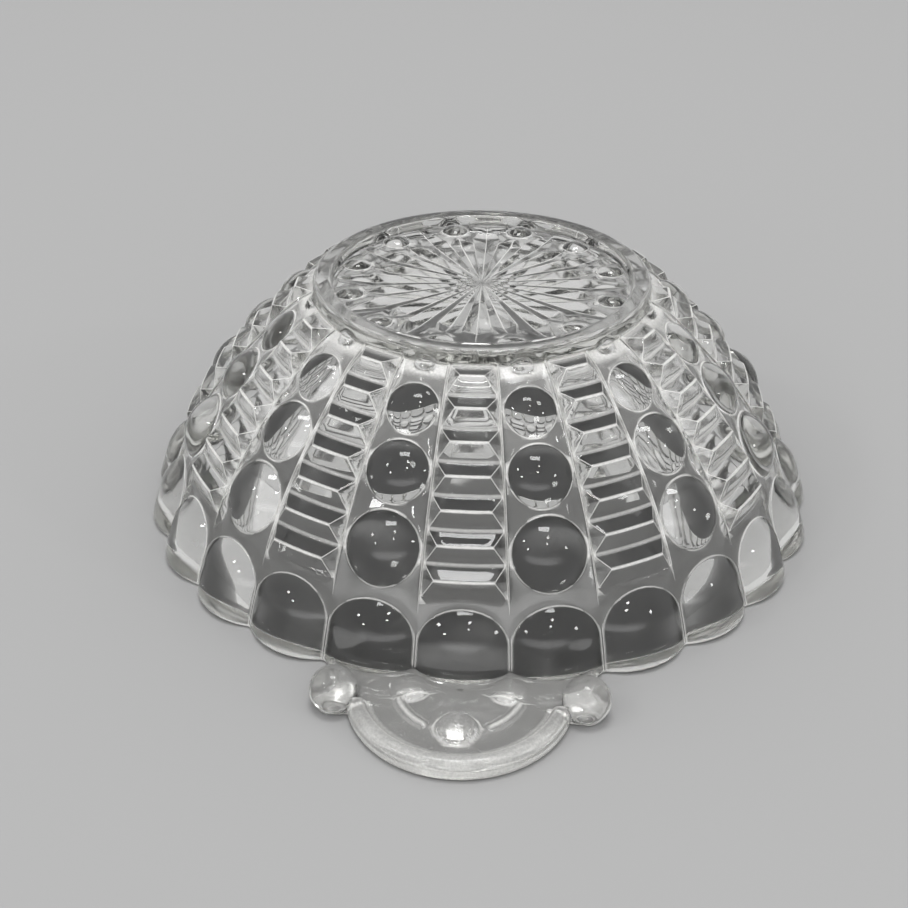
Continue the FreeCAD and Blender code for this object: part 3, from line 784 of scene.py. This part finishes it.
bowl = in_scene("bowl", facing_out(bowl_mesh))
for part in added:
    join = bowl.modifiers.new("join", "BOOLEAN")
    join.operation = "UNION"
    join.solver = "MANIFOLD"
    join.object = part
bpy.context.view_layer.update()
shape = bpy.data.meshes.new_from_object(bowl.evaluated_get(bpy.context.evaluated_depsgraph_get()))
bowl.modifiers.clear()
bowl.data = shape
for part in added:
    bpy.data.objects.remove(part)
SHARP_FROM = np.radians(58)
shape.shade_smooth()
shape.set_sharp_from_angle(angle=SHARP_FROM)
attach(bowl, "root")
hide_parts("glass_bowl")


class Link:
    """One output socket of a node tree. +, - and * on it add Math nodes."""

    def __init__(self, tree, socket=None):
        self.tree = tree
        self.socket = socket

    def node(self, kind, settings=(), inputs=(), output=0):
        """Makes a node: its settings first, then the values or links of its sockets."""
        made = self.tree.nodes.new(kind)
        for name, value in settings:
            setattr(made, name, value)
        for name, value in inputs:
            if isinstance(value, Link):
                self.tree.links.new(value.socket, made.inputs[name])
            else:
                made.inputs[name].default_value = value
        return None if output is None else Link(self.tree, made.outputs[output])

    def math(self, operation, one, other):
        """A Math node on two links, or on a link and a number."""
        return self.node("ShaderNodeMath", [("operation", operation)], [(0, one), (1, other)])

    def __add__(self, other):
        return self.math("ADD", self, other)

    def __radd__(self, other):
        return self.math("ADD", other, self)

    def __sub__(self, other):
        return self.math("SUBTRACT", self, other)

    def __rsub__(self, other):
        return self.math("SUBTRACT", other, self)

    def __mul__(self, other):
        return self.math("MULTIPLY", self, other)

    def __rmul__(self, other):
        return self.math("MULTIPLY", other, self)

    def ramp(self, low, high):
        """0 below low, 1 above high, and a smooth rise between."""
        return self.node("ShaderNodeMapRange", [("interpolation_type", "SMOOTHSTEP")],
                         [("Value", self), ("From Min", low), ("From Max", high)])

    def noise(self, size, detail=2.0, roughness=0.5):
        """Cloudy noise from 0 to 1, with spots of this size in metres."""
        return self.node("ShaderNodeTexNoise", [],
                         [("Vector", self), ("Scale", 1 / size), ("Detail", detail),
                          ("Roughness", roughness)])

    def part(self, axis):
        """One part of a vector: 0, 1 or 2."""
        return self.node("ShaderNodeSeparateXYZ", [], [(0, self)], axis)


def new_material(name):
    """An empty material, and a link to start its nodes from."""
    material = bpy.data.materials.new(name)
    material.use_nodes = True
    material.node_tree.nodes.clear()
    return material, Link(material.node_tree)


GLASS_COLOUR = (0.99, 0.99, 0.985, 1)
# Matt white mixed into the glass by its frost amount: painted light, as painted highlight lines along
# edges and painted brightness on parts of the wall, the rim and the tab.
FROST_AND_PAINTED_LIGHT_COLOUR = (0.95, 0.945, 0.92, 1)
TINT_COLOUR, TINT_DENSITY = (0.80, 0.81, 0.66, 1), 6.0
GLASS_IOR = 1.51
POLISHED, GRAINY = 0.006, 0.45        # roughness of the clear glass and of the frost
STAND_DEPTH, LIE_DEPTH = 0.1 * mm, 0.15 * mm      # how far the rubbing reaches, on the foot and the rim
WAVE_SIZE, WAVE_DEPTH = 9 * mm, 0.030             # the depths are in millimetres
GRAIN_SIZE, GRAIN_DEPTH = 0.9 * mm, 0.0015
SCUFF_SIZE, SPECK_SIZE, SMEAR_SIZE = 0.35 * mm, 0.5 * mm, 14 * mm


def clear_glass():
    """Clear pressed glass: fire-polished, with the faint waves and grain that a mould leaves, a little
    rubbed where it stands on its foot or lies on its rim, with a faint haze in soft patches, and a very
    faint yellow green where it is thick. Where the mesh's frost amount says, it is rougher and mixed with
    a matt white. That white is painted light: painted highlight lines along the sharp edges and corners of
    the pattern, and painted brightness on parts of the wall, the rim and the tab."""
    material, tree = new_material("clear_glass")
    place = tree.node("ShaderNodeTexCoord", output="Object")
    height = place.part(2)
    wave = place.noise(WAVE_SIZE, 1.0)
    grain = place.noise(GRAIN_SIZE, 3.0, 0.6)
    flow = wave * WAVE_DEPTH + grain * GRAIN_DEPTH
    bumped = tree.node("ShaderNodeBump", [], [("Strength", 1.0), ("Distance", mm), ("Height", flow)])
    standing = height.ramp(BOWL_HEIGHT * mm - STAND_DEPTH, BOWL_HEIGHT * mm)
    rubbed = standing + (1 - height.ramp(0.0, LIE_DEPTH))
    scuffs = place.noise(SCUFF_SIZE, 4.0, 0.7).ramp(0.42, 0.62)
    smears = place.noise(SMEAR_SIZE, 3.0).ramp(0.5, 0.75)
    # Each point's frost amount: how much painted light and how much extra roughness the glass gets there.
    frost_and_painted_light = tree.node("ShaderNodeAttribute", [("attribute_name", "frost_and_painted_light")], output="Fac")
    roughness = POLISHED + 0.02 * smears + rubbed * (0.03 + 0.15 * scuffs) + 0.2 * frost_and_painted_light
    glass = tree.node("ShaderNodeBsdfPrincipled", [], [
        ("Base Color", GLASS_COLOUR), ("Roughness", roughness), ("IOR", GLASS_IOR),
        ("Transmission Weight", 1.0), ("Normal", bumped)])
    painted_light_frost = tree.node("ShaderNodeBsdfPrincipled", [], [
        ("Base Color", FROST_AND_PAINTED_LIGHT_COLOUR), ("Roughness", GRAINY), ("IOR", GLASS_IOR), ("Normal", bumped)])
    # A faint milky haze in soft patches, and over it the painted light of the frost amount, both as a
    # share of matt white.
    haze = 0.01 + 0.05 * smears
    haze_and_painted_light = haze + frost_and_painted_light * (0.6 + 0.2 * place.noise(SPECK_SIZE, 3.0, 0.7).ramp(0.3, 0.7))
    surface = tree.node("ShaderNodeMixShader", [], [(0, haze_and_painted_light), (1, glass), (2, painted_light_frost)])
    tint = tree.node("ShaderNodeVolumeAbsorption", [], [("Color", TINT_COLOUR), ("Density", TINT_DENSITY)])
    tree.node("ShaderNodeOutputMaterial", [], [("Surface", surface), ("Volume", tint)], None)
    return material


shape.materials.clear()
shape.materials.append(clear_glass())

# ================================================================== floor, light and camera
# Not part of the object: a plain pale floor, an even pale studio with a soft glow behind the camera,
# a large soft lamp above, five small ones round the front, and the camera at the photograph's angle.

FLOOR_COLOUR = (0.42, 0.42, 0.42, 1)
FLOOR_ROUGHNESS = 0.7
FLOOR_HALF = 12.0                     # metres
FLOOR_DROP = 0.1 * mm                 # a thin air gap, so that no face of the glass lies in the floor


def floor_finish():
    """Matt pale paint, the same all over."""
    material, tree = new_material("pale_floor")
    paint = tree.node("ShaderNodeBsdfPrincipled", [], [
        ("Base Color", FLOOR_COLOUR), ("Roughness", FLOOR_ROUGHNESS)])
    tree.node("ShaderNodeOutputMaterial", [], [("Surface", paint)], None)
    return material


floor_mesh = bpy.data.meshes.new("floor")
corners = [(x * FLOOR_HALF, y * FLOOR_HALF, -FLOOR_DROP) for x, y in ((-1, -1), (1, -1), (1, 1), (-1, 1))]
floor_mesh.from_pydata(corners, [], [(0, 1, 2, 3)])
floor_mesh.materials.append(floor_finish())
floor = in_scene("floor", floor_mesh)

ROOM_LEVEL, GLOW_LEVEL = 0.66, 2.0
FAR_FLOOR_LEVEL = 0.376               # about as the floor's far end renders
BACKDROP_RISE = 0.15                  # and this much more higher up


def studio():
    """The room's light: an even pale grey all round, with a soft glow behind the camera. The camera
    itself sees a background about as pale as the far floor, so the floor's end is only a faint line
    in low views."""
    world = bpy.data.worlds.new("studio")
    world.use_nodes = True
    world.node_tree.nodes.clear()
    tree = Link(world.node_tree)
    direction = tree.node("ShaderNodeTexCoord", output="Generated")
    up = direction.part(2)
    front = 0 - direction.part(1)
    # The glow fades towards both sides, towards the floor and towards the ceiling.
    glow = front.ramp(0.55, 0.95) * up.ramp(0.02, 0.18) * (1 - up.ramp(0.22, 0.5))
    level = ROOM_LEVEL + GLOW_LEVEL * glow
    seen = tree.node("ShaderNodeLightPath", output="Is Camera Ray")
    behind = FAR_FLOOR_LEVEL + BACKDROP_RISE * up.ramp(0.0, 0.5)
    level = level + seen * (behind - level)
    light = tree.node("ShaderNodeBackground", [], [("Color", (1, 1, 1, 1)), ("Strength", level)])
    tree.node("ShaderNodeOutputWorld", [], [("Surface", light)], None)
    return world


LAMP_DISTANCE = 2.0                   # metres


def lamp(name, azimuth, elevation, size, power):
    """A soft rectangular lamp in this direction from the bowl, turned to face it."""
    azimuth, elevation = np.radians(azimuth), np.radians(elevation)
    direction = Vector((np.cos(azimuth) * np.cos(elevation), np.sin(azimuth) * np.cos(elevation),
                        np.sin(elevation)))
    light = bpy.data.lights.new(name, "AREA")
    light.shape = "RECTANGLE"
    light.size, light.size_y = size
    light.energy = power
    piece = in_scene(name, light)
    piece.location = direction * LAMP_DISTANCE
    piece.rotation_euler = direction.to_track_quat("Z", "Y").to_euler()


bpy.context.scene.world = studio()
lamp("overhead_lamp", 92, 87, (0.80, 0.45), 12.0)
lamp("left_lamp", -158, 43, (0.17, 0.17), 1.9)
lamp("low_left_lamp", -133, 34, (0.15, 0.15), 1.5)
lamp("front_lamp", -64, 69, (0.17, 0.17), 1.9)
lamp("low_front_lamp", -77, 54, (0.14, 0.14), 1.3)
lamp("right_lamp", -22, 29, (0.17, 0.17), 1.5)

CAMERA_PLACE = Vector((10.29, -264.74, 170.23)) * mm
CAMERA_AIM = Vector((-6.16, 11.94, 0.0)) * mm
CAMERA_ROLL = 0.198                   # degrees
camera = in_scene("camera", bpy.data.cameras.new("camera"))
camera.data.sensor_width = 36.0
camera.data.lens = 57.43
turn = (CAMERA_AIM - CAMERA_PLACE).to_track_quat("-Z", "Y").to_matrix()
camera.location = CAMERA_PLACE
camera.rotation_euler = (turn @ Matrix.Rotation(np.radians(CAMERA_ROLL), 3, "Z")).to_euler()
bpy.context.scene.camera = camera
bpy.context.scene.view_settings.view_transform = "Standard"

# Light passes many walls of glass before it leaves the bowl, so it may bounce often. Light that the
# glass would focus is left out, so the floor keeps the bowl's whole shadow.
bpy.context.scene.cycles.max_bounces = 20
bpy.context.scene.cycles.glossy_bounces = 14
bpy.context.scene.cycles.transmission_bounces = 20
bpy.context.scene.cycles.caustics_refractive = False
bpy.context.scene.cycles.caustics_reflective = False
